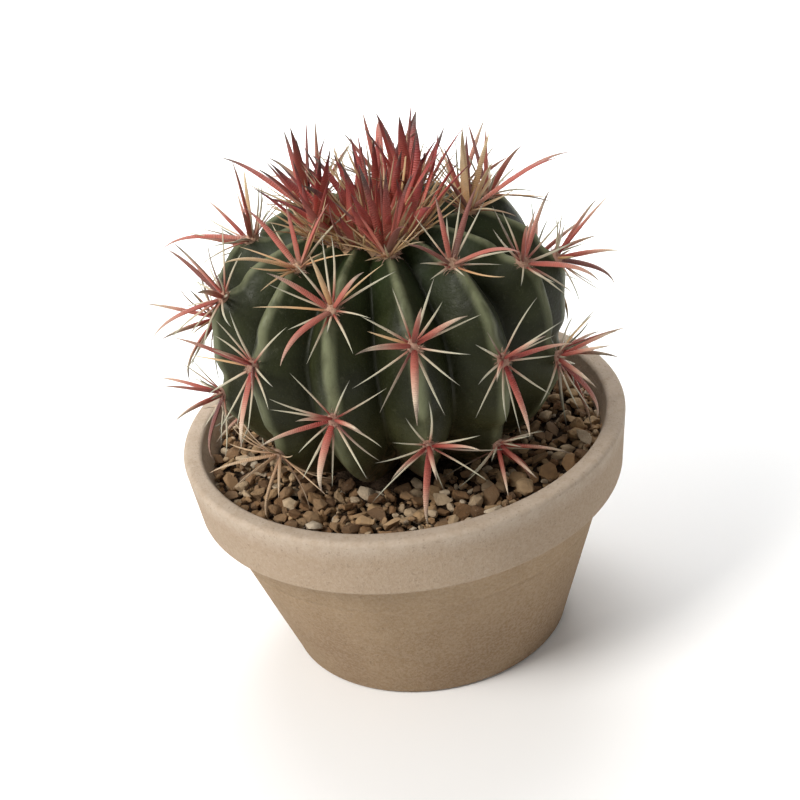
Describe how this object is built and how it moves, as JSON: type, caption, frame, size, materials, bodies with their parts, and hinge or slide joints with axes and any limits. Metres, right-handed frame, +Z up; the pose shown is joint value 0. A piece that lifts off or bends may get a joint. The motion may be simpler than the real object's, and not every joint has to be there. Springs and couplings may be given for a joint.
{
  "type": "potted round cactus",
  "caption": "Ribbed globular cactus with red and cream spines, standing in a low tapered clay pot topped with brown gravel.",
  "frame": {"origin": "middle of the pot's foot, on the pot's axis, on the surface that the pot stands on", "axes": "+Z up along the pot's axis, -Y towards the front that the picture shows"},
  "size_m": [0.163, 0.1614, 0.1839],
  "materials": {
    "fired_clay": "matte",
    "potting_mix": "matte",
    "gravel_stone": "matte",
    "green_skin": "satin",
    "crown_spine": "satin",
    "side_spine": "satin"
  },
  "bodies": {
    "root": {"crown": "crown_spine", "gravel": "gravel_stone", "pot": "fired_clay", "potting_mix": "potting_mix", "spines_rib01_row1": "side_spine", "spines_rib01_row2": "side_spine", "spines_rib02_row1": "side_spine", "spines_rib02_row2": "side_spine", "spines_rib02_row3": "side_spine", "spines_rib03_row1": "side_spine", "spines_rib03_row2": "side_spine", "spines_rib03_row3": "side_spine", "spines_rib04_row1": "side_spine", "spines_rib04_row2": "side_spine", "spines_rib05_row1": "side_spine", "spines_rib05_row2": "side_spine", "spines_rib05_row3": "side_spine", "spines_rib06_row1": "side_spine", "spines_rib06_row2": "side_spine", "spines_rib07_row1": "side_spine", "spines_rib07_row2": "side_spine", "spines_rib07_row3": "side_spine", "spines_rib08_row1": "side_spine", "spines_rib08_row2": "side_spine", "spines_rib08_row3": "side_spine", "spines_rib09_row1": "side_spine", "spines_rib09_row2": "side_spine", "spines_rib10_row1": "side_spine", "spines_rib10_row2": "side_spine", "spines_rib10_row3": "side_spine", "spines_rib11_row1": "side_spine", "spines_rib11_row2": "side_spine", "spines_rib11_row3": "side_spine", "spines_rib12_row1": "side_spine", "spines_rib12_row2": "side_spine", "spines_rib12_row3": "side_spine", "spines_rib13_row1": "side_spine", "spines_rib13_row2": "side_spine", "spines_rib13_row3": "side_spine", "stem": "green_skin"}
  },
  "joints": []
}
